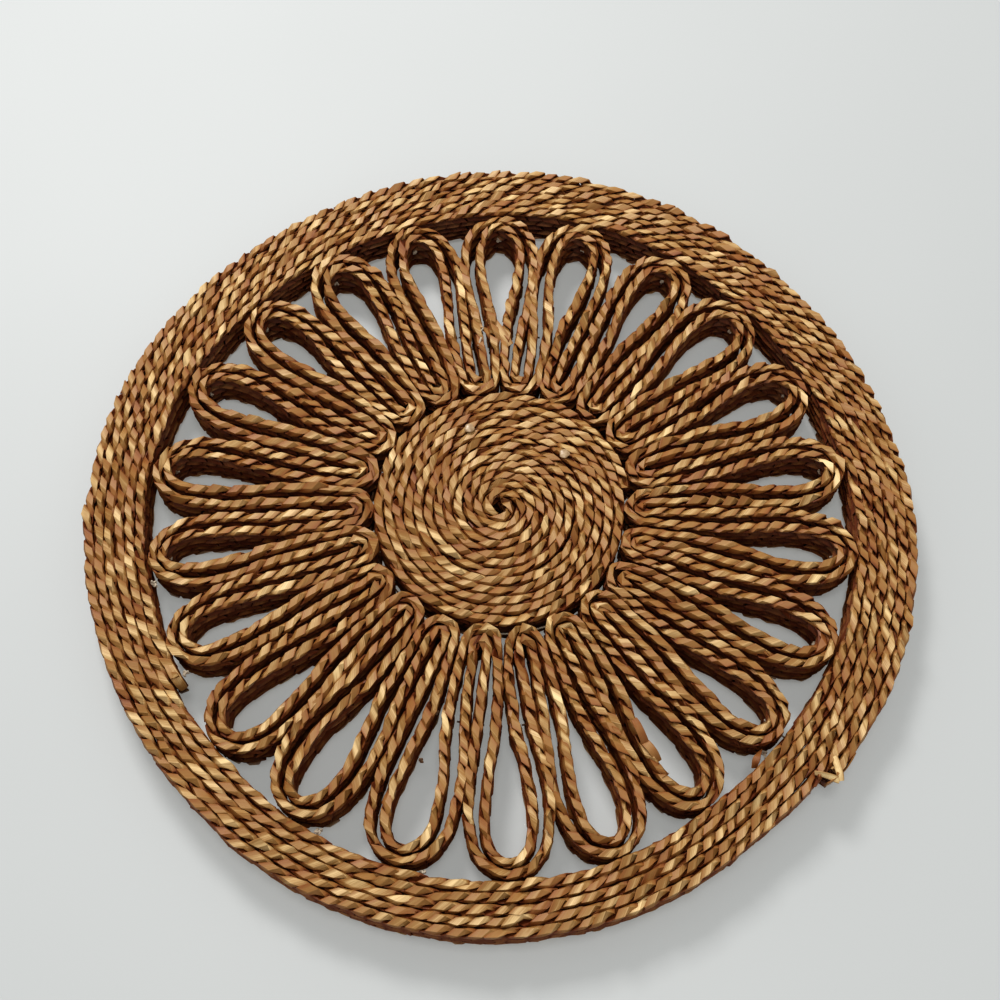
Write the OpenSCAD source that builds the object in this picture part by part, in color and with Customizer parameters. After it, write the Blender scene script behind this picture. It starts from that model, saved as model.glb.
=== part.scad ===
// Openwork chair seat pad made of straw plait that stands on edge.
// A wound centre, a ring of looped petals in two rows, and a wound rim,
// sewn together with thread that runs through the rows.
// Origin: middle of the underside, +Z up, millimetres.

/* [Pad] */
// Outside diameter of the pad
pad_d = 350; // [348:1:352]
// Width of the plait, which stands on edge and gives the pad its height
plait_w = 22; // [20:1:24]
// Thickness of one row of plait
plait_t = 3.8; // [3.7:0.1:3.9]
// Distance between neighbouring rows of the wound plaits
row_pitch = 4.2; // [4.2:0.05:4.25]

/* [Wound centre and rim] */
// Largest outside radius of the wound centre, at the plait's outer end
center_r = 56; // [55.5:0.5:56.5]
// Turns of plait in the rim
rim_turns = 5.7; // [5.65:0.05:5.75]
// Direction of the rim plait's outer end, in degrees
rim_end_a = 320.5; // [320:0.5:321]

/* [Petals] */
// Number of petals
petals = 22; // [21:1:23]
// Direction of the first petal, in degrees
petal_a = 10.7; // [10.4:0.1:11]
// Free gap between a petal's loop and the row that it is sewn to
sewn_gap = 0.3; // [0.3:0.05:0.4]

/* [Sewing] */
// Diameter of the sewing thread
thread_d = 1; // [0.9:0.1:1.1]
// Radius of a thread knot
knot_r = 1.4; // [1.3:0.1:1.5]

/* [Hidden] */

straw = "#b98746";
straw_dark = "#a87838";
straw_light = "#cd9c58";
cream = "#d9cbb0";

half_step = 180 / petals;
mid_z = plait_w / 2;
tie_z = 0.7 * plait_w;
hub_z = 0.3 * plait_w;
bore_d = thread_d + 0.4;
knot_gap = 0.05;
// Straw left over the end of a stitch inside a row
stitch_cover = 1;
// Spokes of thread through the centre: how many, the first one's direction and where it starts
spokes = 6;
spoke_a = 40;
spoke_start_r = 4;
// Ties between the small loops: how far out from the centre, and half their length
tie_step = 2.2;
tie_reach = 7;
// Half the length of the stitches between two petals
side_reach = 9;
// Angle from a petal's middle to the corner where its tip leaves the rim
corner_a = 4.7;

// Each rim turn is round, and steps in by one row over the last part of the turn.
rim_ease = 1 / 9;
rim_steps = 72;
center_steps = 48;
center_start_r = 2.3;
center_turns = (center_r - plait_t / 2 - center_start_r) / row_pitch;
center_end_a = petal_a;

// Rows of a petal: [row number in the small loop at the centre, lean of the leg towards
// the petal's middle in degrees, width handle at the tip as a share of half a petal step]
outer_row = [1, 0, 1.08];
inner_row = [0, 4.5, 0.8];
leg_handle = 0.5;
row_step_at_tip = 4.3;
leg_clearance = 0.25;
side_stitch_r = 92;
arc_steps = 5;
leg_steps = 8;
joint_share = 0.05;
petal_points = 2 * (arc_steps + leg_steps);
top_petal = 5;
splice_petal = 18;

// [petal, side] of the knots that show in the corners beside the rim
JOINT_KNOTS = [[11, 1], [12, 1], [14, 1], [15, 1], [19, -1]];
// [radius, direction] of the glue dots on the centre
GLUE_DOTS = [[36.5, 44], [39, 113]];
glue_dot_d = 4.4;
glue_dot_h = 0.6;
// Flat straw strand that sticks out of a cut end
strand_t = 0.8;
strand_w = 4.4;
strand_l = 18;
// [petal, radius, distance from the petal's middle, lean in degrees] of the two strand ends
SPLICE_STRAND = [splice_petal, 103, -3.6, -20];
TOP_STRAND = [top_petal, 92, 2.2, 25];

function polar(r, a) = [r * cos(a), r * sin(a)];
function turned(p, a) = [p[0] * cos(a) - p[1] * sin(a), p[0] * sin(a) + p[1] * cos(a)];
function mix(p, q, t) = p + (q - p) * t;
function bezier(p, t) = pow(1 - t, 3) * p[0] + 3 * t * pow(1 - t, 2) * p[1]
    + 3 * pow(t, 2) * (1 - t) * p[2] + pow(t, 3) * p[3];
function part_turn(a, start) = let (u = (a - start) / 360) u - floor(u);

// Radius of the rim plait's middle line, s turns in from its outer end
function rim_eased(u) = u < 1 - rim_ease ? 0 : (1 - cos(180 * (u - 1 + rim_ease) / rim_ease)) / 2;
function rim_row_r(s) = (pad_d - plait_t) / 2 - row_pitch * (floor(s) + rim_eased(s - floor(s)));
function rim_last_s(a) = let (u = part_turn(a, rim_end_a)) u + floor(rim_turns - u);
function rim_inside_r(a) = rim_row_r(rim_last_s(a)) - plait_t / 2;
function rim_outside_r(a) = rim_row_r(part_turn(a, rim_end_a)) + plait_t / 2;

// Radius of the centre plait's middle line, s turns in from its outer end
function center_row_r(s) = center_r - plait_t / 2 - row_pitch * s;
function center_outside_r(a) = center_row_r(part_turn(a, center_end_a)) + plait_t / 2;

function tip_a(k) = petal_a + 2 * half_step * k;
function outer_tip_r(k) = rim_inside_r(tip_a(k)) - sewn_gap - plait_t / 2;
function inner_tip_r(k) = outer_tip_r(k) - row_step_at_tip;

// The small loops fill the space round the centre: the radius of a loop's larger row,
// so that its legs just clear those of the next loop, and the radius of its middle
function big_loop_r(a) = let (share = sin(half_step), wall_r = center_outside_r(a) + sewn_gap + plait_t / 2)
    (wall_r * share - plait_t / 2 - leg_clearance) / (1 - share);
function loop_middle_r(a) = center_outside_r(a) + sewn_gap + plait_t / 2 + big_loop_r(a);
function small_loop_r(a) = big_loop_r(a) - row_pitch;

// One leg of a petal from the bottom of the small loop to the petal's tip
function leg(k, side, row, tip_r) =
    let (a = tip_a(k) + side * half_step,
         middle = polar(loop_middle_r(a), half_step),
         radius = big_loop_r(a) - row[0] * row_pitch,
         sweep = 90 - row[1],
         arc = [for (i = [0 : arc_steps])
             middle + polar(radius, half_step + 180 + sweep * i / arc_steps)],
         foot = arc[arc_steps],
         reach = leg_handle * (tip_r - foot[0]),
         width = row[2] * tip_r * tan(half_step),
         handles = [foot, foot + polar(reach, half_step - row[1]), [tip_r, width], [tip_r, 0]],
         curve = [for (i = [1 : leg_steps]) bezier(handles, i / leg_steps)])
    [for (p = concat(arc, curve)) turned([p[0], side * p[1]], tip_a(k))];

// Points of one petal, from the bottom of one small loop up to just before the next
function petal(k, row, tip_r) =
    let (up = leg(k, -1, row, tip_r), down = leg(k, 1, row, tip_r), n = len(up) - 1)
    concat(up, [for (i = [n - 1 : -1 : 1]) down[i]]);

outer_points = [for (k = [0 : petals - 1]) each petal(k, outer_row, outer_tip_r(k))];
inner_points = [for (k = [0 : petals - 1]) each petal(k, inner_row, inner_tip_r(k))];
rim_points = [for (i = [0 : rim_steps * rim_turns]) let (s = i / rim_steps)
    polar(rim_row_r(s), rim_end_a + 360 * s)];
center_points = [for (i = [0 : center_steps * center_turns]) let (s = i / center_steps)
    polar(center_row_r(s), center_end_a + 360 * s)];

// Places where a petal plait starts or stops, as point numbers along the ring
top_end = petal_points * top_petal + petal_points - arc_steps - 2;
splice_end = petal_points * splice_petal + arc_steps + 5;

// Part of a closed ring of points, starting a little past its first point
function stretch(ring, from, to) =
    let (n = len(ring), first = mix(ring[from % n], ring[(from + 1) % n], joint_share))
    concat([first], [for (i = [from + 1 : to]) ring[i % n]]);

function side_points(path, offset) =
    [for (i = [0 : len(path) - 1])
        let (a = path[max(i - 1, 0)], b = path[min(i + 1, len(path) - 1)], d = (b - a) / norm(b - a))
        path[i] + offset * [-d[1], d[0]]];
function backwards(list) = [for (i = [len(list) - 1 : -1 : 0]) list[i]];

// A plait that stands on edge along a path
module plait_wall(path) {
    outline = concat(side_points(path, plait_t / 2), backwards(side_points(path, -plait_t / 2)));
    linear_extrude(plait_w) polygon(outline);
}

// The quarter turn keeps the cylinder's seam off the upright edges that it cuts
module radial_stitch(a, r_from, r_to, z, d) {
    rotate(a) translate([r_from, 0, z]) rotate([0, 90, 0]) rotate(90)
        cylinder(h = r_to - r_from, d = d, $fn = 24);
}

module cross_stitch(a, r, reach, z, d) {
    rotate(a) translate([r, -reach, z]) rotate([-90, 0, 0]) cylinder(h = 2 * reach, d = d, $fn = 24);
}

// Spokes that sew the turns of the centre together
module center_stitches(d) {
    for (i = [0 : spokes - 1])
        let (a = spoke_a + 360 * i / spokes)
        radial_stitch(a, spoke_start_r, center_outside_r(a) - stitch_cover, mid_z, d);
}

// Stitches from the last turns of the centre into the small loops
module hub_stitches(d) {
    for (k = [0 : petals - 1])
        let (a = tip_a(k) + half_step)
        radial_stitch(a, center_outside_r(a) - 1.5 * row_pitch,
                      loop_middle_r(a) - small_loop_r(a) + stitch_cover, hub_z, d);
}

// Ties from one small loop to the next, which show in the gaps round the centre.
// There is none where the centre plait's end steps out.
module hub_ties(d) {
    for (k = [1 : petals - 1])
        cross_stitch(tip_a(k), center_outside_r(tip_a(k) - half_step) + tie_step, tie_reach, tie_z, d);
}

// Stitches through the four rows where two petals lie side by side
module side_stitches(d) {
    for (k = [0 : petals - 1])
        cross_stitch(tip_a(k) + half_step, side_stitch_r, side_reach, mid_z, d);
}

// Stitches from inside each petal's tip through both rows and the rim
module tip_stitches(d) {
    for (k = [0 : petals - 1])
        radial_stitch(tip_a(k), inner_tip_r(k) - plait_t / 2,
                      rim_outside_r(tip_a(k)) - stitch_cover, mid_z, d);
}

// Stitches through the rim's rows between the petals
module rim_stitches(d) {
    for (k = [0 : petals - 1])
        let (a = tip_a(k) + half_step)
        radial_stitch(a, rim_inside_r(a) + stitch_cover, rim_outside_r(a) - stitch_cover, mid_z, d);
}

module center_coil() {
    color(straw) difference() {
        plait_wall(center_points);
        center_stitches(bore_d);
        hub_stitches(bore_d);
    }
}

module petal_outer_plait() {
    color(straw_dark) difference() {
        plait_wall(stretch(outer_points, top_end, top_end + len(outer_points)));
        hub_stitches(bore_d);
        side_stitches(bore_d);
        tip_stitches(bore_d);
    }
}

module petal_inner_plait(from, to) {
    difference() {
        plait_wall(stretch(inner_points, from, to));
        hub_stitches(bore_d);
        hub_ties(bore_d);
        side_stitches(bore_d);
        tip_stitches(bore_d);
    }
}

module petal_inner_plait_long() {
    color(straw_light) petal_inner_plait(top_end, splice_end);
}

module petal_inner_plait_short() {
    color(straw) petal_inner_plait(splice_end, top_end + len(inner_points));
}

module rim_coil() {
    color(straw) difference() {
        plait_wall(rim_points);
        tip_stitches(bore_d);
        rim_stitches(bore_d);
    }
}

module center_thread() {
    color(cream) center_stitches(thread_d);
}

module hub_thread() {
    color(cream) hub_stitches(thread_d);
}

module hub_tie_thread() {
    color(cream) hub_ties(thread_d);
}

module petal_side_thread() {
    color(cream) side_stitches(thread_d);
}

module petal_tip_thread() {
    color(cream) tip_stitches(thread_d);
}

module rim_thread() {
    color(cream) rim_stitches(thread_d);
}

// The knot that stops each tip stitch inside its petal
module petal_tip_knots() {
    color(cream) for (k = [0 : petals - 1])
        rotate(tip_a(k)) translate([inner_tip_r(k) - plait_t / 2 - knot_r - knot_gap, 0, mid_z])
            sphere(knot_r, $fn = 24);
}

// Knots left in the corners between a petal's tip and the rim
module joint_knots() {
    color(cream) for (knot = JOINT_KNOTS)
        let (a = tip_a(knot[0]) + corner_a * knot[1])
        rotate(a) translate([rim_inside_r(a) - knot_r - sewn_gap, 0, tie_z]) sphere(knot_r, $fn = 24);
}

// Drops of clear glue on top of the centre
module glue_dots() {
    color("white") for (dot = GLUE_DOTS)
        translate(concat(polar(dot[0], dot[1]), plait_w)) cylinder(h = glue_dot_h, d = glue_dot_d, $fn = 24);
}

// A cut strand that leans out of a plait's end on the petal's open side
module strand_end(strand) {
    lean = strand[3];
    rotate(tip_a(strand[0])) translate([strand[1], strand[2], plait_w - strand_l * cos(lean)])
        rotate([0, lean, 0]) translate([-strand_w / 2, -strand_t / 2, 0])
        cube([strand_w, strand_t, strand_l - strand_w / 2]);
}

module splice_strand_end() {
    color(straw_light) strand_end(SPLICE_STRAND);
}

module top_strand_end() {
    color(straw_light) strand_end(TOP_STRAND);
}

center_coil();
petal_outer_plait();
petal_inner_plait_long();
petal_inner_plait_short();
rim_coil();
center_thread();
hub_thread();
hub_tie_thread();
petal_side_thread();
petal_tip_thread();
petal_tip_knots();
rim_thread();
joint_knots();
glue_dots();
splice_strand_end();
top_strand_end();
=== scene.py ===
"""An openwork chair seat pad of straw plait that stands on edge.

Every plait is made as the real one is: seven flat straw strands, each woven over and under the
others and folded over at the plait's two edges. The plaits follow the centre lines of the CAD
solids that they stand for, apart from a waver in the rim and a lean in the petals' rows.
"""

import math

import bpy
import numpy as np
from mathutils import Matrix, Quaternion, Vector


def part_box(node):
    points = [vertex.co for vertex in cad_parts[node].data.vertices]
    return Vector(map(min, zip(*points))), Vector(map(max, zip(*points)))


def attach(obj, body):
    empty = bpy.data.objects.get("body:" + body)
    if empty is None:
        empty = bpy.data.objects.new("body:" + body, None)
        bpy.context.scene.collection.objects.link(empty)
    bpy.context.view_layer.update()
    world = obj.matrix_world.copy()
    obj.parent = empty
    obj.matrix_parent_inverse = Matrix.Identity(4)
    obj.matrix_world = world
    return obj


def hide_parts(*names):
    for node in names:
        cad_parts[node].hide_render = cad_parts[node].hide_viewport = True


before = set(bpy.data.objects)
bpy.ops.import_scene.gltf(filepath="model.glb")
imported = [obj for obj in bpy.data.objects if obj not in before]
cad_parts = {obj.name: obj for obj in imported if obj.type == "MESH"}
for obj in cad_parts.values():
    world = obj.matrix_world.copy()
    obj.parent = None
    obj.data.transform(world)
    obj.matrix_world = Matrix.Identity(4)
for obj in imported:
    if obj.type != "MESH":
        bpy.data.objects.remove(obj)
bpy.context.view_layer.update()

# ---- sizes from the frame, in metres ----
rim_low, rim_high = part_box("rim_coil")

PAD_R = (rim_high.x - rim_low.x) / 2
PLAIT_W = rim_high.z - rim_low.z

# ---- the plan of the pad, as in part.scad ----
MM = 0.001
PLAIT_T = 3.8 * MM
ROW_PITCH = 4.2 * MM
CENTER_R = 56 * MM
CENTER_START_R = 2.3 * MM
RIM_TURNS = 5.7
RIM_END_A = 320.5
RIM_EASE = 1 / 9
PETALS = 22
PETAL_A = 10.7
HALF_STEP = 180 / PETALS
SEWN_GAP = 0.3 * MM
LEG_CLEARANCE = 0.25 * MM
LEG_HANDLE = 0.5
ROW_STEP_AT_TIP = 4.3 * MM
# Row number in the small loop, lean of the leg in degrees, width handle at the tip
OUTER_ROW = (1, 0, 1.08)
INNER_ROW = (0, 4.5, 0.8)
ARC_STEPS = 5
LEG_STEPS = 8
TOP_PETAL = 5
SPLICE_PETAL = 18
# How far the rim's outline wavers, how many times round, and where it is widest, in degrees
RIM_WAVER = 1.2 * MM
RIM_WAVERS = 4
RIM_WIDE_A = 260
# Share by which the petals are wider than their plan, and petals that are wider still
PETAL_SPREAD = 0.06
WIDE_PETALS = (2, 5)
WIDER = 0.1
# How far the rows of the petals lie towards the petal's middle, past their plan, by radius
LEAN_R = (62 * MM, 78 * MM, 95 * MM, 118 * MM, 145 * MM)
OUTER_LEAN = (0, 0.6 * MM, 0.9 * MM, 0, -0.4 * MM)
INNER_LEAN = (0, 1.3 * MM, 2.1 * MM, 0.7 * MM, 0)
# How far inside the tip a petal's sides start to close, which makes the tip pointed
TIP_POINT = 3 * MM
# How soon the lean ends towards the tip, and where a petal's swing and spread are complete, as a
# share of the tip's radius
LEAN_ENDS = 4
SWING_DONE = 0.8
# How much the petals differ: swing in degrees, spread as a share, and pull inwards
SWING_VARY = 0.4
SPREAD_VARY = 0.04
PULL_VARY = 0.3 * MM
PETAL_SEED = 22
# Points of a wound line for each turn
WOUND_POINTS = 180
# Points along each piece of a petal for one point of the CAD outline
FINE = 4
PETAL_POINTS = 2 * (ARC_STEPS + LEG_STEPS)
TOP_END = FINE * (PETAL_POINTS * TOP_PETAL + PETAL_POINTS - ARC_STEPS - 2)
SPLICE_END = FINE * (PETAL_POINTS * SPLICE_PETAL + ARC_STEPS + 5)

# ---- the plait ----
# Edges that turn more than this, in degrees, look creased
CREASE_ANGLE = 24
STRANDS = 7
FOLD_PITCH = 7.6 * MM
STRAND_T = 0.6 * MM
# Half the distance between a strand over and a strand under, in the plait's walls
WEAVE = 1.35 * MM
# Room left at the plait's two edges for folds that stand proud, and where the floor flattens them
EDGE_ROOM = 0.7 * MM
FLATTENED = 0.5 * MM
# Half the width and the depth of the fold at each edge, and how much of the depth adds to its way
FOLD_SIDE = 1.38 * MM
FOLD_DEPTH = 1.4 * MM
DEPTH_SHARE = 0.8
# Sections round a fold: way gone, side and rise, as shares; a flat top between two steep sides
FOLD_WAY = np.array([0, 0.27, 0.73, 1])
FOLD_ACROSS = np.array([-1, -0.72, 0.72, 1])
FOLD_UP = np.array([0, 0.9, 0.9, 0])
# Breadth of the strand at each of these sections, as a share of the breadth in the walls
FOLD_BREADTH = np.array([0.76, 1.06, 1.06, 0.76])
# How near each section is to the fold's top, which draws the fold's corners in and sets its painted light;
# the steep sides lie in painted shade between rows
FOLD_NEARNESS = np.array([0.4, 1, 1, 0.4])
BESIDE_FOLD = 0.2
# How far one side of a fold stands above its other side, so that folds lap like shingles
FOLD_LAP = 1.1 * MM
# How far a fold's corners are drawn in towards the plait's middle, and down into the row
FOLD_PINCH = 0.5
FOLD_TUCK = 0.9 * MM
# A strand's cross-section: place across the strand and height, each as a share of its half
SECTION = ((-1, 0), (-0.9, 0.8), (0.1, 1.3), (0.9, 0.8), (1, 0), (0.9, -0.9), (-0.9, -0.9))
# Fullness of the wound rows, which press on each other, and of the petals' rows by radius
WOUND_FULLNESS = 1.3
PETAL_FULLNESS_R = (66 * MM, 92 * MM, 150 * MM)
PETAL_FULLNESS = (1.15, 1.42, 1.15)
# How far the folds run ahead or behind along a row, changing over this length
DRIFT = 2 * MM
DRIFT_LENGTH = 30 * MM
# How unevenly the strands of a plait end
ENDS_UNEVEN = 1.5 * MM
# How much a strand varies along its way: its place along the row, its side, its breadth and
# thickness as shares, its tone and its twist
ALONG_VARY = 0.35 * MM
SIDE_VARY = 0.15 * MM
BREADTH_VARY = 0.09
THICK_VARY = 0.15
TONE_VARY = 0.07
TWIST_VARY = 0.3 * MM
# How much one fold differs from the next: place along the row, rise, tilt, side, tone and twist
FOLD_ALONG_VARY = 0.7 * MM
FOLD_RISE_VARY = 0.35 * MM
FOLD_TILT_VARY = 0.4 * MM
FOLD_SIDE_VARY = 0.3 * MM
FOLD_TONE_VARY = 0.09
FOLD_TWIST_VARY = 0.35 * MM
MIDDLE_TONE = 0.5
# How far a whole row sways to the side, how much its height varies, and over which lengths
SWAY = 0.22 * MM
SWAY_LENGTH = 9 * MM
HEIGHT_VARY = 0.012
HEIGHT_LENGTH = 14 * MM
# Points by which a petal plait runs on past each of its ends, where it laps over the next length
RUN_ON = 2


def degrees_polar(radius, angle):
    return np.array([radius * np.cos(np.radians(angle)), radius * np.sin(np.radians(angle))])


def part_turn(angle, start):
    turn = (angle - start) / 360
    return turn - np.floor(turn)


# ---- centre lines ----
def rim_row_r(turns):
    whole = np.floor(turns)
    late = (turns - whole - 1 + RIM_EASE) / RIM_EASE
    waver = RIM_WAVER * np.cos(np.radians(RIM_WAVERS * (RIM_END_A + 360 * turns - RIM_WIDE_A)))
    eased = np.where(late < 0, 0, (1 - np.cos(np.pi * late)) / 2)
    return PAD_R - PLAIT_T / 2 - ROW_PITCH * (whole + eased) + waver


def rim_inside_r(angle):
    turn = part_turn(angle, RIM_END_A)
    return rim_row_r(turn + np.floor(RIM_TURNS - turn)) - PLAIT_T / 2


def center_row_r(turns):
    return CENTER_R - PLAIT_T / 2 - ROW_PITCH * turns


def center_outside_r(angle):
    return center_row_r(part_turn(angle, PETAL_A)) + PLAIT_T / 2


def tip_a(k):
    return PETAL_A + 2 * HALF_STEP * k


def big_loop_r(angle):
    share = math.sin(math.radians(HALF_STEP))
    wall_r = center_outside_r(angle) + SEWN_GAP + PLAIT_T / 2
    return (wall_r * share - PLAIT_T / 2 - LEG_CLEARANCE) / (1 - share)


def loop_middle_r(angle):
    return center_outside_r(angle) + SEWN_GAP + PLAIT_T / 2 + big_loop_r(angle)


def smooth(low, high, value):
    share = np.clip((value - low) / (high - low), 0, 1)
    return share * share * (3 - 2 * share)


def leg(k, side, row, tip_r, swing, spread):
    """One leg of a petal, from the bottom of its small loop to its tip."""
    angle = tip_a(k) + side * HALF_STEP
    loop_r = big_loop_r(angle) - row[0] * ROW_PITCH
    turn = HALF_STEP + 180 + np.linspace(0, 90 - row[1], FINE * ARC_STEPS + 1)
    arc = degrees_polar(loop_middle_r(angle), HALF_STEP) + degrees_polar(loop_r, turn).T
    foot = arc[-1]
    reach = LEG_HANDLE * (tip_r - foot[0])
    width = row[2] * tip_r * math.tan(math.radians(HALF_STEP))
    closing = (tip_r - TIP_POINT, width)
    handles = (foot, foot + degrees_polar(reach, HALF_STEP - row[1]), closing, (tip_r, 0))
    t = np.linspace(0, 1, FINE * LEG_STEPS + 1)[1:, None]
    ends_in = np.concatenate((np.ones(len(arc)), 1 - t[:, 0] ** LEAN_ENDS))
    weights = ((1 - t) ** 3, 3 * t * (1 - t) ** 2, 3 * t**2 * (1 - t), t**3)
    curve = sum(w * np.asarray(h) for w, h in zip(weights, handles, strict=True))
    line = np.concatenate((arc, curve))
    line[:, 1] -= np.interp(line[:, 0], LEAN_R, INNER_LEAN if row is INNER_ROW else OUTER_LEAN) * ends_in
    outer_part = smooth(foot[0], SWING_DONE * tip_r, line[:, 0])
    line[:, 1] *= side * (1 + spread * outer_part)
    bend = np.radians(tip_a(k) + swing * outer_part)
    x, y = line.T
    return np.stack((x * np.cos(bend) - y * np.sin(bend), x * np.sin(bend) + y * np.cos(bend)), axis=1)


def petal_ring(row, tip_step):
    """A closed ring of petals; the same small differences from petal to petal in both rows."""
    rng = np.random.default_rng(PETAL_SEED)
    points = []
    for k in range(PETALS):
        swing, spread, pull = rng.normal((0, PETAL_SPREAD, 0), (SWING_VARY, SPREAD_VARY, PULL_VARY))
        spread += WIDER * (k in WIDE_PETALS)
        tip_r = rim_inside_r(tip_a(k)) - SEWN_GAP - PLAIT_T / 2 - tip_step - abs(pull)
        up = leg(k, -1, row, tip_r, swing, spread)
        down = leg(k, 1, row, tip_r, swing, spread)
        points.append(up)
        points.append(down[-2:0:-1])
    return np.concatenate(points)


def stretch(ring, start, stop):
    return ring[np.arange(start, stop + 1) % len(ring)]


def wound(row_r, start_a, turns):
    s = np.linspace(0, turns, int(WOUND_POINTS * turns))
    return degrees_polar(row_r(s), start_a + 360 * s).T


# ---- plaits ----
def wander(rng, count, every, size):
    """A smooth random line: one value for each section, with a new one drawn every few sections."""
    knots = rng.normal(0, size, int(count / every) + 3)
    return np.interp(np.arange(count) / every, np.arange(len(knots)), knots)


def row_wander(rng, u, row_length, length, size):
    """The same smooth random value for all strands of a row, at each place u along it."""
    knots = wander(rng, int(row_length / length) + 2, 1, size)
    return np.interp(u / length, np.arange(len(knots)), knots)


def strand_period(height):
    """One strand's way up, over the top edge, down and under the bottom edge, seen along the plait.

    Returns, for each section, the way gone along the strip, the height, the side, the outward
    normal's height and side, how far it faces up or down in a fold, how near it is to one and
    its breadth; and the strip's whole length and its slope.
    """
    straight = height - 2 * FOLD_DEPTH
    fold = 2 * (FOLD_SIDE + FOLD_DEPTH * DEPTH_SHARE)
    whole = 2 * straight + 2 * fold
    slope = STRANDS * FOLD_PITCH / whole
    crossings = np.arange(1, STRANDS - 0.75, 0.5)
    climb = (crossings * FOLD_PITCH - fold * slope) / (2 * slope)
    over = WEAVE * np.cos(np.pi * (crossings - 1))
    fold_side = FOLD_SIDE * FOLD_ACROSS
    fold_rise = FOLD_DEPTH * FOLD_UP
    fold_way = fold * FOLD_WAY
    down_from = straight + fold
    way = np.concatenate((climb, straight + fold_way, down_from + climb, straight + down_from + fold_way))
    top = height - FOLD_DEPTH
    rise = np.concatenate((FOLD_DEPTH + climb, top + fold_rise, top - climb, FOLD_DEPTH - fold_rise))
    side = np.concatenate((over, fold_side, over, -fold_side))
    none = np.zeros(len(climb))
    folding = np.concatenate((none, FOLD_UP, none, -FOLD_UP))
    near_end = none.copy()
    near_end[[0, -1]] = BESIDE_FOLD
    near = np.concatenate((near_end, FOLD_NEARNESS, near_end, FOLD_NEARNESS))
    breadth = np.concatenate((none + 1, FOLD_BREADTH, none + 1, FOLD_BREADTH))
    ahead = np.roll(way, -1) - way
    ahead[-1] += whole
    to_rise = (np.roll(rise, -1) - rise) / ahead
    to_side = (np.roll(side, -1) - side) / ahead
    tangent = np.stack((to_rise + np.roll(to_rise, 1), to_side + np.roll(to_side, 1)))
    tangent /= np.hypot(*tangent)
    return way, rise, side, tangent[1], -tangent[0], folding, near, breadth, whole, slope


def each_fold(rng, periods, weights, size):
    """One random value for each fold, shared out over the fold's sections, and none in the walls."""
    wall = np.zeros(2 * STRANDS - 3)
    both = [np.concatenate((wall, value * np.array(weights))) for value in rng.normal(0, size, 2 * periods)]
    return np.concatenate(both)


def strand_mesh(name, line, fullness, number, height, seed, material):
    """One strand of a plait that follows the line, as a closed mesh."""
    rng = np.random.default_rng(seed)
    gone = np.concatenate(([0], np.cumsum(np.hypot(*np.diff(line, axis=0).T))))
    heading = np.unwrap(np.arctan2(*np.gradient(line, axis=0).T[::-1]))
    way, *shape, whole, slope = strand_period(height)
    periods = np.arange(-1, int(gone[-1] / (STRANDS * FOLD_PITCH)) + 2)
    folds = len(periods)
    count = folds * len(way)
    way = (periods[:, None] * whole + way).ravel()
    rise, side, normal_rise, normal_side, folding, near, breadth = (np.tile(v, folds) for v in shape)
    along = number * FOLD_PITCH + way * slope

    along += wander(rng, count, 6, ALONG_VARY) + each_fold(rng, folds, (0.6, 1, 1, 0.6), FOLD_ALONG_VARY)
    lifted = each_fold(rng, folds, (0.3, 1, 1, 0.3), FOLD_RISE_VARY)
    rise += lifted + each_fold(rng, folds, (0, -1, 1, 0), FOLD_TILT_VARY)
    side += wander(rng, count, 4, SIDE_VARY) + each_fold(rng, folds, (0.4, 1, 1, 0.4), FOLD_SIDE_VARY)
    breadth = FOLD_PITCH / 2 * breadth * (1 + wander(rng, count, 5, BREADTH_VARY))
    thick = STRAND_T / 2 * (1 + wander(rng, count, 6, THICK_VARY))
    tone = MIDDLE_TONE + wander(rng, count, 8, TONE_VARY)
    tone += each_fold(rng, folds, (1, 1, 1, 1), FOLD_TONE_VARY)
    twist = wander(rng, count, 4, TWIST_VARY) + each_fold(rng, folds, (0.5, 1, 1, 0.5), FOLD_TWIST_VARY)

    start, stop = rng.uniform(0, ENDS_UNEVEN), gone[-1] - rng.uniform(0, ENDS_UNEVEN)
    kept = np.flatnonzero((along > start - FOLD_PITCH) & (along < stop + FOLD_PITCH))
    kept = slice(kept[0], kept[-1] + 1)
    across, up = np.array(SECTION).T
    u = (along[kept, None] + breadth[kept, None] * across).clip(start, stop)
    row_rng = np.random.default_rng(len(line))
    u = (u + row_wander(row_rng, u, gone[-1], DRIFT_LENGTH, DRIFT)).clip(start, stop)
    lift = thick[kept, None] * up + (twist - FOLD_LAP * folding)[kept, None] * across
    drawn_in = 1 - FOLD_PINCH * near[kept, None] * np.abs(across) ** 1.5
    z = rise[kept, None] + lift * normal_rise[kept, None] - FOLD_TUCK * folding[kept, None] * across**2
    off = side[kept, None] * drawn_in * np.interp(u, gone, fullness) + lift * normal_side[kept, None]
    off += row_wander(row_rng, u, gone[-1], SWAY_LENGTH, SWAY)
    z = z * (1 + row_wander(row_rng, u, gone[-1], HEIGHT_LENGTH, HEIGHT_VARY)) + STRAND_T / 2 + EDGE_ROOM
    z = np.where(z < FLATTENED, FLATTENED * np.exp(z / FLATTENED - 1), z)
    angle = np.interp(u, gone, heading)
    x = np.interp(u, gone, line[:, 0]) - off * np.sin(angle)
    y = np.interp(u, gone, line[:, 1]) + off * np.cos(angle)

    rows, ring = u.shape
    points = np.stack((x, y, z), axis=-1).reshape(-1, 3)
    piece = new_mesh(name, points, *skin(rows, ring), material)
    edges = np.tile(across, rows)
    fibre = np.stack((np.repeat(way[kept], ring), edges * FOLD_PITCH / 2), axis=1)
    # Tone, then masks for the painted shade at the strand's edges and the painted light by the folds
    tone_and_shade = np.stack((np.repeat(tone[kept], ring), np.abs(edges), np.repeat(near[kept], ring)), axis=1)
    add_fibre(piece.data, fibre, tone_and_shade)
    return piece


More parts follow.
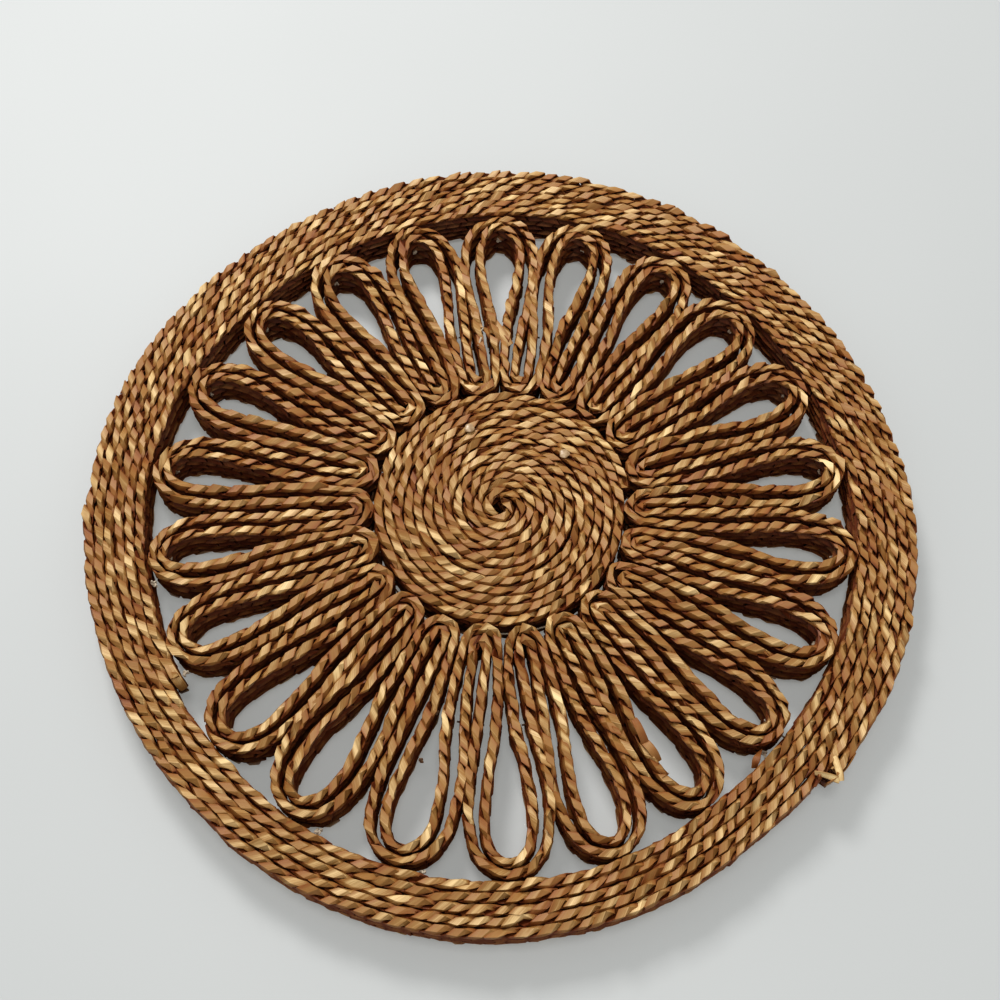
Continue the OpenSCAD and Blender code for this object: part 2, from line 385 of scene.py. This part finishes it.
def skin(rows, ring):
    """Quads between the rows of a tube's points, and the caps that close its ends."""
    row, ahead = np.arange(ring), np.arange(rows - 1)[:, None] * ring
    one, two = ahead + row, ahead + (row + 1) % ring
    quads = np.stack((one, two, two + ring, one + ring), axis=-1).reshape(-1, 4)
    return quads, (row[::-1], (rows - 1) * ring + row)


def new_mesh(name, points, quads, caps, material):
    corners = np.concatenate((quads.ravel(), *caps))
    sizes = np.concatenate((np.full(len(quads), 4), [len(c) for c in caps])).astype(np.int32)
    starts = np.concatenate(([0], np.cumsum(sizes)[:-1])).astype(np.int32)
    mesh = bpy.data.meshes.new(name)
    mesh.vertices.add(len(points))
    mesh.vertices.foreach_set("co", points.astype(np.float32).ravel())
    mesh.loops.add(len(corners))
    mesh.loops.foreach_set("vertex_index", corners.astype(np.int32))
    mesh.polygons.add(len(sizes))
    mesh.polygons.foreach_set("loop_start", starts)
    mesh.update(calc_edges=True)
    mesh.shade_smooth()
    mesh.set_sharp_from_angle(angle=math.radians(CREASE_ANGLE))
    mesh.materials.append(material)
    piece = bpy.data.objects.new(name, mesh)
    bpy.context.collection.objects.link(piece)
    return piece


def add_fibre(mesh, fibre, tone_and_shade):
    """Stores the way along and across the strand as UVs, and its tone with the masks of its painted light and
    shade as a colour.
    """
    corner = np.zeros(len(mesh.loops), np.int32)
    mesh.loops.foreach_get("vertex_index", corner)
    mesh.uv_layers.new(name="fibre").data.foreach_set("uv", fibre[corner].astype(np.float32).ravel())
    colours = np.concatenate((tone_and_shade, np.ones((len(tone_and_shade), 1))), axis=1).astype(np.float32)
    mesh.color_attributes.new("straw_tone_and_shade", "FLOAT_COLOR", "POINT").data.foreach_set("color", colours.ravel())


def ride(piece, node):
    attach(piece, "root")
    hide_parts(node)


def plait(name, node, line, fullness, seed, material):
    for number in range(STRANDS):
        piece = strand_mesh(
            f"{name}_strand_{number + 1}",
            line,
            fullness,
            number,
            PLAIT_W - STRAND_T - 2 * EDGE_ROOM,
            seed + number,
            material,
        )
        ride(piece, node)


def petal_plait(name, node, ring, start, stop, seed, material):
    line = stretch(ring, start - RUN_ON, stop + RUN_ON)
    fullness = np.interp(np.hypot(*line.T), PETAL_FULLNESS_R, PETAL_FULLNESS)
    plait(name, node, line, fullness, seed, material)


def wound_plait(name, node, line, seed, material):
    plait(name, node, line, np.full(len(line), WOUND_FULLNESS), seed, material)


# ---- materials ----
# Colours of the straw from its edges and walls in painted shade to its folds in painted light
STRAW_RAMP = (
    (0.0, (0.17, 0.045, 0.012)),
    (0.3, (0.31, 0.13, 0.04)),
    (0.6, (0.37, 0.205, 0.07)),
    (1.0, (0.9, 0.68, 0.37)),
)
# Fibres and blotches for each metre along and across a strand, and how much they show
FIBRES = (70, 2600, 1)
BLOTCHES = (160, 320, 1)
FIBRE_GAIN = 0.42
BLOTCH_GAIN = 0.5
# How much painted light pales a fold and painted shade darkens a wall, and how much painted shade darkens a
# strand at its edges
FOLD_LIGHT_GAIN = 0.36
WALL_SHADE = -0.24
EDGE_SHADE = -0.34
EDGE_POWER = 3.0
STRAW_ROUGH = (0.36, 0.6)
STRAW_BUMP = (0.55, 0.35 * MM)
FIBRE_BUMP = 0.6
THREAD_FUZZ = 2400
THREAD_SOIL = 180
THREAD_ROUGH = 0.85
THREAD_SHEEN = 0.35
THREAD_BUMP = (0.4, 0.1 * MM)
COTTON_COLOURS = ((0.3, 0.22, 0.15), (0.66, 0.57, 0.45))
# The same thread coloured dark, as painted shade for stitches and knots deep between the rows
SHADED_THREAD_COLOURS = ((0.09, 0.04, 0.015), (0.24, 0.13, 0.06))
GLUE_HAZE = 700
GLUE_RAMP = ((0.3, (0.3, 0.19, 0.1)), (0.7, (0.5, 0.37, 0.23)))
GLUE_ROUGH = 0.42
GLUE_COAT = 0.25
GLUE_BUMP = (0.2, 0.2 * MM)
FLOOR_MOTTLE = 3
FLOOR_RAMP = ((0.2, (0.32, 0.323, 0.32)), (0.8, (0.35, 0.353, 0.35)))
FLOOR_ROUGH = 0.6
# The floor's own light keeps the holes of the pad bright
FLOOR_GLOW = (0.97, 1, 0.98, 1)
FLOOR_GLOW_STRENGTH = 0.18


def new_material(name):
    material = bpy.data.materials.new(name)
    material.use_nodes = True
    nodes = material.node_tree.nodes
    return material, nodes, material.node_tree.links, nodes["Principled BSDF"]


def ramp(nodes, links, source, stops):
    node = nodes.new("ShaderNodeValToRGB")
    while len(node.color_ramp.elements) < len(stops):
        node.color_ramp.elements.new(0.5)
    for element, (place, colour) in zip(node.color_ramp.elements, stops, strict=True):
        element.position = place
        element.color = (*colour, 1)
    links.new(source, node.inputs["Fac"])
    return node.outputs["Color"]


def noise(nodes, links, vector, scale, detail, stretch_by=(1, 1, 1)):
    mapping = nodes.new("ShaderNodeMapping")
    mapping.inputs["Scale"].default_value = [scale * s for s in stretch_by]
    links.new(vector, mapping.inputs["Vector"])
    texture = nodes.new("ShaderNodeTexNoise")
    texture.inputs["Scale"].default_value = 1
    texture.inputs["Detail"].default_value = detail
    links.new(mapping.outputs["Vector"], texture.inputs["Vector"])
    return texture.outputs["Fac"]


def maths(nodes, links, operation, *values):
    node = nodes.new("ShaderNodeMath")
    node.operation = operation
    for socket, value in zip(node.inputs, values, strict=False):
        if isinstance(value, (int, float)):
            socket.default_value = value
        else:
            links.new(value, socket)
    return node.outputs["Value"]


def bump(nodes, links, shader, height, strength, distance):
    node = nodes.new("ShaderNodeBump")
    node.inputs["Strength"].default_value = strength
    node.inputs["Distance"].default_value = distance
    links.new(height, node.inputs["Height"])
    links.new(node.outputs["Normal"], shader.inputs["Normal"])


def straw_material():
    """Dyed straw with fine long fibres, with painted light on its folds and painted shade in its walls and
    towards its edges.
    """
    material, nodes, links, shader = new_material("straw")
    uv = nodes.new("ShaderNodeUVMap")
    uv.uv_map = "fibre"
    stored = nodes.new("ShaderNodeVertexColor")
    stored.layer_name = "straw_tone_and_shade"
    split = nodes.new("ShaderNodeSeparateColor")
    links.new(stored.outputs["Color"], split.inputs["Color"])
    tone, edge, fold = (split.outputs[c] for c in ("Red", "Green", "Blue"))
    fibres = noise(nodes, links, uv.outputs["UV"], 1, 3, FIBRES)
    blotches = noise(nodes, links, uv.outputs["UV"], 1, 3, BLOTCHES)
    grain = maths(nodes, links, "MULTIPLY_ADD", fibres, FIBRE_GAIN, -FIBRE_GAIN / 2)
    shade = maths(nodes, links, "ADD", grain, tone)
    patches = maths(nodes, links, "MULTIPLY_ADD", blotches, BLOTCH_GAIN, -BLOTCH_GAIN / 2)
    shade = maths(nodes, links, "ADD", shade, patches)
    # Painted light on the folds and painted shade in the walls, by how near each point is to a fold
    fold_light_and_wall_shade = maths(nodes, links, "MULTIPLY_ADD", fold, FOLD_LIGHT_GAIN, WALL_SHADE)
    shade = maths(nodes, links, "ADD", shade, fold_light_and_wall_shade)
    # Painted shade that darkens each strand towards its edges
    edge_shade = maths(nodes, links, "POWER", edge, EDGE_POWER)
    edge_shade = maths(nodes, links, "MULTIPLY", edge_shade, EDGE_SHADE)
    shade = maths(nodes, links, "ADD", shade, edge_shade)
    links.new(ramp(nodes, links, shade, STRAW_RAMP), shader.inputs["Base Color"])
    rough = nodes.new("ShaderNodeMapRange")
    rough.inputs["To Min"].default_value, rough.inputs["To Max"].default_value = STRAW_ROUGH
    links.new(fibres, rough.inputs["Value"])
    links.new(rough.outputs["Result"], shader.inputs["Roughness"])
    wrinkles = maths(nodes, links, "MULTIPLY_ADD", fibres, FIBRE_BUMP, blotches)
    bump(nodes, links, shader, wrinkles, *STRAW_BUMP)
    return material


def thread_material(name, dark, light):
    """Cotton sewing thread, fuzzy and a little soiled, between a dark and a light colour."""
    material, nodes, links, shader = new_material(name)
    place = nodes.new("ShaderNodeTexCoord").outputs["Object"]
    fuzz = noise(nodes, links, place, THREAD_FUZZ, 4)
    soil = noise(nodes, links, place, THREAD_SOIL, 2)
    mixed = maths(nodes, links, "MULTIPLY_ADD", fuzz, 0.5, soil)
    colour = ramp(nodes, links, mixed, ((0.35, dark), (0.95, light)))
    links.new(colour, shader.inputs["Base Color"])
    shader.inputs["Roughness"].default_value = THREAD_ROUGH
    shader.inputs["Sheen Weight"].default_value = THREAD_SHEEN
    bump(nodes, links, shader, fuzz, *THREAD_BUMP)
    return material


def glue_material():
    """A drop of clear glue that has yellowed a little and taken up some dust."""
    material, nodes, links, shader = new_material("dried_glue")
    place = nodes.new("ShaderNodeTexCoord").outputs["Object"]
    haze = noise(nodes, links, place, GLUE_HAZE, 3)
    links.new(ramp(nodes, links, haze, GLUE_RAMP), shader.inputs["Base Color"])
    shader.inputs["Roughness"].default_value = GLUE_ROUGH
    shader.inputs["Coat Weight"].default_value = GLUE_COAT
    shader.inputs["Coat Roughness"].default_value = GLUE_COAT
    bump(nodes, links, shader, haze, *GLUE_BUMP)
    return material


def floor_material():
    material, nodes, links, shader = new_material("pale_floor")
    place = nodes.new("ShaderNodeTexCoord").outputs["Object"]
    mottle = noise(nodes, links, place, FLOOR_MOTTLE, 2)
    links.new(ramp(nodes, links, mottle, FLOOR_RAMP), shader.inputs["Base Color"])
    shader.inputs["Roughness"].default_value = FLOOR_ROUGH
    shader.inputs["Emission Color"].default_value = FLOOR_GLOW
    shader.inputs["Emission Strength"].default_value = FLOOR_GLOW_STRENGTH
    return material


# ---- threads, knots, drops and loose strand ends ----
THREAD_R = 0.42 * MM
PLY_R = 0.24 * MM
PLY_PITCH = 1.8 * MM
PLY_POINTS = 8
TUBE_SIDES = 6
# A direction that no thread runs in, from which a tube's sides are turned
OFF_LINE = (0.31, 0.42, 0.85)
# Heights in the thread pieces are shares of the pad's height
MID_Z = 0.5
HUB_Z = 0.3
SIDE_Z = 0.4
WHITE_TIE_Z = 0.7
DARK_TIE_Z = 0.45
TIE_STEP = 2.2 * MM
TIE_REACH = 7 * MM
SIDE_STITCH_R = 92 * MM
SIDE_REACH = 5.5 * MM
# Petals whose hub ties show white; the others lie lower and their thread is coloured dark as painted shade
WHITE_TIES = (16, 17)
# Spokes of thread through the centre: how many, the first one's direction and where it starts
SPOKES = 6
SPOKE_A = 40
SPOKE_START_R = 4 * MM
# Straw left over the end of a stitch inside a row
STITCH_COVER = 1 * MM
# Knots: points of the loop, length of the cut ends in knot sizes, and each kind's size, height
# and distance from the row that it lies against
KNOT_POINTS = 40
KNOT_TAIL = 1.9
TIP_KNOT = (0.75 * MM, 0.55, 0.8 * MM)
CORNER_KNOT = (1.1 * MM, 0.72, 1.7 * MM)
LEG_KNOT = (0.7 * MM, 0.8)
# Angle from a petal's middle to the corner where its tip leaves the rim
CORNER_A = 4.7
# [petal, side] of the knots in the corners beside the rim
JOINT_KNOTS = ((11, 1), (12, 1), (14, 1), (15, 1), (19, -1))
# Radius and direction of the small knots in the left legs of one lower petal
LEG_KNOTS = ((113 * MM, 255.8), (93 * MM, 255.8))
# Radius and direction of the glue drops, their size, how uneven their edge is, and their points
GLUE_DOTS = ((36.5 * MM, 44), (39 * MM, 113))
GLUE_R = 2.2 * MM
GLUE_H = 0.6 * MM
GLUE_UNEVEN = (0.07, 0.04)
GLUE_SIDES = 28
GLUE_RINGS = 8
DOME_TOP = 0.48 * np.pi
# Points of a loose ribbon, where it tapers, how much, and its length in the straw's fibres
RIBBON_POINTS = 14
RIBBON_TAPER = ((0, 0.3, 0.8, 1), (0.85, 1, 1, 0.8))
RIBBON_FIBRE = 15 * MM
# Loose strand ends: name, node, the curve's control points, direction across, width in
# millimetres, tone. Each point is a radius in millimetres, a direction in degrees and a height
# as a share of the pad's.
LOOSE_STRANDS = (
    (
        "top_loose_strand",
        "top_strand_end",
        ((95, 95.4, 0.84), (88, 93.4, 1.02), (80, 89.2, 0.88)),
        (12, 10, 5),
        4.4,
        0.6,
    ),
    (
        "top_torn_strand",
        "top_strand_end",
        ((91, 97.5, 0.75), (87, 95.5, 0.95), (84, 95, 0.8)),
        (10, 8, -6),
        3.4,
        0.45,
    ),
    (
        "splice_loose_strand",
        "splice_strand_end",
        ((119, 301, 0.85), (113, 300.9, 1.22), (107, 301.2, 1.1)),
        (10, 6, 5),
        3.2,
        0.45,
    ),
    (
        "splice_folded_strand",
        "splice_strand_end",
        ((125, 301.6, 0.85), (120, 301.3, 1.12), (115, 300.9, 0.92)),
        (8, 6, 2),
        3.4,
        0.6,
    ),
    (
        "rim_end_left_strand",
        "rim_coil",
        ((167, 319.2, 0.93), (171.5, 320, 1.03), (176, 320.6, 0.9)),
        (-3, 2, 2),
        3,
        0.85,
    ),
    (
        "rim_end_right_strand",
        "rim_coil",
        ((169, 322.6, 0.97), (172.5, 321.7, 1.04), (176.5, 320.7, 0.92)),
        (3, 2, 2),
        3,
        0.8,
    ),
    (
        "rim_end_flap",
        "rim_coil",
        ((175, 325, 0.74), (176.5, 321.4, 0.8), (173, 319.2, 0.82)),
        (0, 0, 1),
        7,
        0.6,
    ),
    (
        "rim_inner_flap",
        "rim_coil",
        ((151.4, 209.6, 0.93), (151, 213, 1.06), (150.2, 213.9, 0.7)),
        (-8, -5, 0),
        4,
        0.75,
    ),
    (
        "rim_inside_tuft",
        "rim_coil",
        ((149, 313.9, 0.8), (146.5, 315.1, 1), (146, 316.6, 0.78)),
        (8, 6, 3),
        3,
        0.35,
    ),
)
# The two ends of each frayed bit of thread, as such points
FRAYS = (((80, 99.4, 0.9), (83, 98.2, 1)), ((86, 99, 0.88), (88, 97.3, 0.98)))


def spot(radius, angle, height):
    """A point given by its radius, its direction in degrees and its height as a share of the pad's."""
    return Vector((*degrees_polar(radius, angle), height * PLAIT_W))


def tube(centres, radius):
    """Points, quads and caps of a round tube along the centres."""
    along = np.gradient(centres, axis=0)
    along /= np.linalg.norm(along, axis=1, keepdims=True)
    right = np.cross(along, OFF_LINE)
    right /= np.linalg.norm(right, axis=1, keepdims=True)
    up = np.cross(right, along)
    turn = np.linspace(0, 2 * np.pi, TUBE_SIDES, endpoint=False)[:, None]
    points = centres[:, None] + radius * (right[:, None] * np.cos(turn) + up[:, None] * np.sin(turn))
    return points.reshape(-1, 3), *skin(len(centres), TUBE_SIDES)


def tubes_mesh(name, lines, radius, material):
    points, quads, caps, base = [], [], [], 0
    for centres in lines:
        tube_points, tube_quads, tube_caps = tube(centres, radius)
        points.append(tube_points)
        quads.append(tube_quads + base)
        caps += [cap + base for cap in tube_caps]
        base += len(tube_points)
    return new_mesh(name, np.concatenate(points), np.concatenate(quads), caps, material)


def plies(start, end):
    """The centre lines of two plies twisted round each other from start to end."""
    reach = end - start
    right = reach.cross((0, 0, 1)).normalized()
    up = right.cross(reach).normalized()
    t = np.linspace(0, 1, int(reach.length / PLY_PITCH * PLY_POINTS) + 2)[:, None]
    turn = 2 * np.pi * t * reach.length / PLY_PITCH
    for phase in (0, np.pi):
        aside = PLY_R * (np.cos(turn + phase) * np.array(right) + np.sin(turn + phase) * np.array(up))
        yield np.array(start) + t * np.array(reach) + aside


def stitches(name, node, ends, material):
    lines = [line for start, end in ends for line in plies(start, end)]
    ride(tubes_mesh(name, lines, THREAD_R / 2, material), node)


def across_stitch(radius, angle, reach, height):
    middle, aside = spot(radius, angle, height), Vector((*degrees_polar(reach, angle + 90), 0))
    return middle - aside, middle + aside


def along_stitch(start_r, end_r, angle, height):
    return spot(start_r, angle, height), spot(end_r, angle, height)


def knot_lines(middle, size, seed):
    """A small tight knot with two cut ends."""
    rng = np.random.default_rng(seed)
    t = np.linspace(0, 2 * np.pi, KNOT_POINTS)
    loop = np.stack((np.sin(t) + 2 * np.sin(2 * t), np.cos(t) - 2 * np.cos(2 * t), -np.sin(3 * t)), axis=1)
    turned = np.array(Quaternion(rng.normal(0, 1, 4)).normalized().to_matrix())
    yield np.array(middle) + size / 3 * loop @ turned
    for end in rng.normal(0, 1, (2, 3)):
        yield np.array(middle) + np.linspace(0, KNOT_TAIL * size, 6)[:, None] * end / np.linalg.norm(end)


def knots(name, node, places, size, material):
    lines = [line for seed, place in enumerate(places) for line in knot_lines(place, size, seed)]
    ride(tubes_mesh(name, lines, THREAD_R, material), node)


def glue_drops(material):
    ring = np.linspace(0, 2 * np.pi, GLUE_SIDES, endpoint=False)
    dome = np.linspace(0, DOME_TOP, GLUE_RINGS)[:, None]
    coarse, fine = GLUE_UNEVEN
    for number, (radius, angle) in enumerate(GLUE_DOTS):
        edge = GLUE_R * (1 + coarse * np.cos(3 * ring + number) + fine * np.cos(5 * ring))
        x, y = edge * np.cos(dome) * np.cos(ring), edge * np.cos(dome) * np.sin(ring)
        z = GLUE_H * np.sin(dome) + 0 * ring
        points = np.stack((x, y, z), axis=-1).reshape(-1, 3) + np.array(spot(radius, angle, 1))
        drop = new_mesh(f"glue_drop_{number + 1}", points, *skin(GLUE_RINGS, GLUE_SIDES), material)
        ride(drop, "glue_dots")


def ribbon(name, node, through, aside, width, tone, material):
    """A loose flat strand end: a curve drawn by its control points, a sideways direction, a width."""
    t = np.linspace(0, 1, RIBBON_POINTS)[:, None]
    last = len(through) - 1
    centres = sum(
        math.comb(last, i) * t**i * (1 - t) ** (last - i) * np.array(p) for i, p in enumerate(through)
    )
    along = np.gradient(centres, axis=0)
    side = np.cross(np.cross(along, np.array(aside)), along)
    side /= np.linalg.norm(side, axis=1, keepdims=True)
    normal = np.cross(along / np.linalg.norm(along, axis=1, keepdims=True), side)
    across, up = np.array(SECTION).T
    breadth = width / 2 * np.interp(t, *RIBBON_TAPER)
    spread = (breadth * across)[..., None] * side[:, None] + (STRAND_T / 2 * up)[:, None] * normal[:, None]
    points = (centres[:, None] + spread).reshape(-1, 3)
    rows, ring = RIBBON_POINTS, len(across)
    row, ahead = np.arange(ring), np.arange(rows - 1)[:, None] * ring
    one, two = ahead + row, ahead + (row + 1) % ring
    quads = np.stack((one, one + ring, two + ring, two), axis=-1).reshape(-1, 4)
    piece = new_mesh(name, points, quads, (row, (rows - 1) * ring + row[::-1]), material)
    edges = np.tile(across, rows)
    fibre = np.stack((np.repeat(t[:, 0] * RIBBON_FIBRE, ring), edges * width / 2), axis=1)
    # Tone, then masks for painted shade at the edges and full painted light, as on a fold
    tone_and_shade = np.stack((np.full(rows * ring, tone), np.abs(edges), np.ones(rows * ring)), axis=1)
    add_fibre(piece.data, fibre, tone_and_shade)
    ride(piece, node)


def thread_pieces(thread, shaded_thread):
    ties = {}
    for k in range(1, PETALS):
        colour = "white" if k in WHITE_TIES else "dark"
        height = WHITE_TIE_Z if k in WHITE_TIES else DARK_TIE_Z
        radius = center_outside_r(tip_a(k) - HALF_STEP) + TIE_STEP
        ties.setdefault(colour, []).append(across_stitch(radius, tip_a(k), TIE_REACH, height))
    stitches("white_hub_ties", "hub_tie_thread", ties["white"], thread)
    stitches("dark_hub_ties", "hub_tie_thread", ties["dark"], shaded_thread)

    tips = [tip_a(k) for k in range(PETALS)]
    between = [angle + HALF_STEP for angle in tips]
    side_ends = [across_stitch(SIDE_STITCH_R, a, SIDE_REACH, SIDE_Z) for a in between]
    stitches("side_stitches", "petal_side_thread", side_ends, shaded_thread)
    inside = [rim_inside_r(a) - SEWN_GAP - PLAIT_T - ROW_STEP_AT_TIP for a in tips]
    outer = [[rim_row_r(part_turn(a, RIM_END_A)) for a in angles] for angles in (tips, between)]
    tip_ends = [along_stitch(r, end, a, MID_Z) for r, end, a in zip(inside, outer[0], tips, strict=True)]
    rim_ends = [
        along_stitch(rim_inside_r(a) + PLAIT_T / 2, end, a, MID_Z)
        for a, end in zip(between, outer[1], strict=True)
    ]
    stitches("tip_stitches", "petal_tip_thread", tip_ends, thread)
    stitches("rim_stitches", "rim_thread", rim_ends, thread)
    spokes = [SPOKE_A + 360 * i / SPOKES for i in range(SPOKES)]
    spoke_ends = [along_stitch(SPOKE_START_R, center_outside_r(a) - STITCH_COVER, a, MID_Z) for a in spokes]
    stitches("center_spokes", "center_thread", spoke_ends, thread)
    loop_insides = [loop_middle_r(a) - big_loop_r(a) + ROW_PITCH + STITCH_COVER for a in between]
    hub_ends = [
        along_stitch(center_outside_r(a) - 1.5 * ROW_PITCH, end, a, HUB_Z)
        for a, end in zip(between, loop_insides, strict=True)
    ]
    stitches("hub_stitches", "hub_thread", hub_ends, thread)
    size, height, step = TIP_KNOT
    tip_places = [spot(r - step, a, height) for r, a in zip(inside, tips, strict=True)]
    knots("tip_knots", "petal_tip_knots", tip_places, size, thread)
    size, height, step = CORNER_KNOT
    corners = [tip_a(k) + CORNER_A * side for k, side in JOINT_KNOTS]
    corner_places = [spot(rim_inside_r(a) - step, a, height) for a in corners]
    knots("corner_knots", "joint_knots", corner_places, size, thread)
    size, height = LEG_KNOT
    leg_places = [spot(radius, angle, height) for radius, angle in LEG_KNOTS]
    knots("leg_knots", "petal_side_thread", leg_places, size, shaded_thread)


def loose_ends(straw, thread):
    """The strand ends that stick out where a plait starts or stops."""
    for name, node, places, aside, width, tone in LOOSE_STRANDS:
        through = [spot(radius * MM, angle, height) for radius, angle, height in places]
        ribbon(name, node, through, aside, width * MM, tone, straw)
    frays = [
        np.linspace(*(np.array(spot(radius * MM, angle, height)) for radius, angle, height in ends), 5)
        for ends in FRAYS
    ]
    ride(tubes_mesh("frayed_thread", frays, THREAD_R, thread), "petal_side_thread")


# ---- camera, light and floor ----
# Angles in degrees, distance and target in pad radii, lens and sensor in millimetres
CAMERA_ELEVATION = 65.39
CAMERA_ROLL = 2.22
CAMERA_DISTANCE = 3.439 * PAD_R
CAMERA_TARGET = Vector((-0.004 * PAD_R, 0.070 * PAD_R, 0))
CAMERA_LENS = 49.04
SENSOR = 36
NEAREST = 0.01
WORLD_COLOUR = (0.98, 1, 1, 1)
WORLD_STRENGTH = 0.4
# Name, place, size and power of each light
LIGHTS = (("key", (-0.4, 0.85, 1.15), 0.4, 10.4), ("overhead", (0.0, -0.1, 1.8), 0.45, 6))
FLOOR_HALF = 4
FLOOR_GAP = 0.2 * MM


def make_camera():
    data = bpy.data.cameras.new("camera")
    data.sensor_width = SENSOR
    data.lens = CAMERA_LENS
    data.clip_start = NEAREST
    camera = bpy.data.objects.new("camera", data)
    bpy.context.collection.objects.link(camera)
    tilt = math.radians(CAMERA_ELEVATION)
    back = Vector((0, -math.cos(tilt), math.sin(tilt)))
    camera.location = CAMERA_TARGET + CAMERA_DISTANCE * back
    camera.rotation_mode = "QUATERNION"
    spin = Quaternion(back, math.radians(CAMERA_ROLL))
    camera.rotation_quaternion = spin @ back.to_track_quat("Z", "Y")
    bpy.context.scene.camera = camera


def make_lights():
    world = bpy.data.worlds.new("world")
    world.use_nodes = True
    background = world.node_tree.nodes["Background"]
    background.inputs["Color"].default_value = WORLD_COLOUR
    background.inputs["Strength"].default_value = WORLD_STRENGTH
    bpy.context.scene.world = world
    bpy.context.scene.view_settings.view_transform = "Standard"
    bpy.context.scene.view_settings.look = "High Contrast"
    for name, place, size, power in LIGHTS:
        data = bpy.data.lights.new(name, "AREA")
        data.size = size
        data.energy = power
        light = bpy.data.objects.new(name, data)
        light.location = place
        light.rotation_mode = "QUATERNION"
        light.rotation_quaternion = Vector(place).to_track_quat("Z", "Y")
        bpy.context.collection.objects.link(light)


def make_floor(material):
    corners = FLOOR_HALF * np.array([(-1, -1, 0), (1, -1, 0), (1, 1, 0), (-1, 1, 0)])
    floor = new_mesh("floor", corners, np.array([[0, 1, 2, 3]]), (), material)
    floor.location.z = rim_low.z - FLOOR_GAP


straw = straw_material()
thread = thread_material("cotton_thread", *COTTON_COLOURS)
# A dark copy of the thread: painted shade on the stitches and knots that lie between the rows
shaded_thread = thread_material("painted_shade_thread", *SHADED_THREAD_COLOURS)
glue = glue_material()

outer_ring = petal_ring(OUTER_ROW, 0)
inner_ring = petal_ring(INNER_ROW, ROW_STEP_AT_TIP)
center_turns = (CENTER_R - PLAIT_T / 2 - CENTER_START_R) / ROW_PITCH
wound_plait("center", "center_coil", wound(center_row_r, PETAL_A, center_turns), 100, straw)
wound_plait("rim", "rim_coil", wound(rim_row_r, RIM_END_A, RIM_TURNS), 200, straw)
top_next = TOP_END + len(outer_ring)
petal_plait("outer_row", "petal_outer_plait", outer_ring, TOP_END, top_next, 300, straw)
petal_plait("inner_row_long", "petal_inner_plait_long", inner_ring, TOP_END, SPLICE_END, 400, straw)
petal_plait("inner_row_short", "petal_inner_plait_short", inner_ring, SPLICE_END, top_next, 500, straw)

thread_pieces(thread, shaded_thread)
glue_drops(glue)
loose_ends(straw, thread)

make_floor(floor_material())
make_lights()
make_camera()
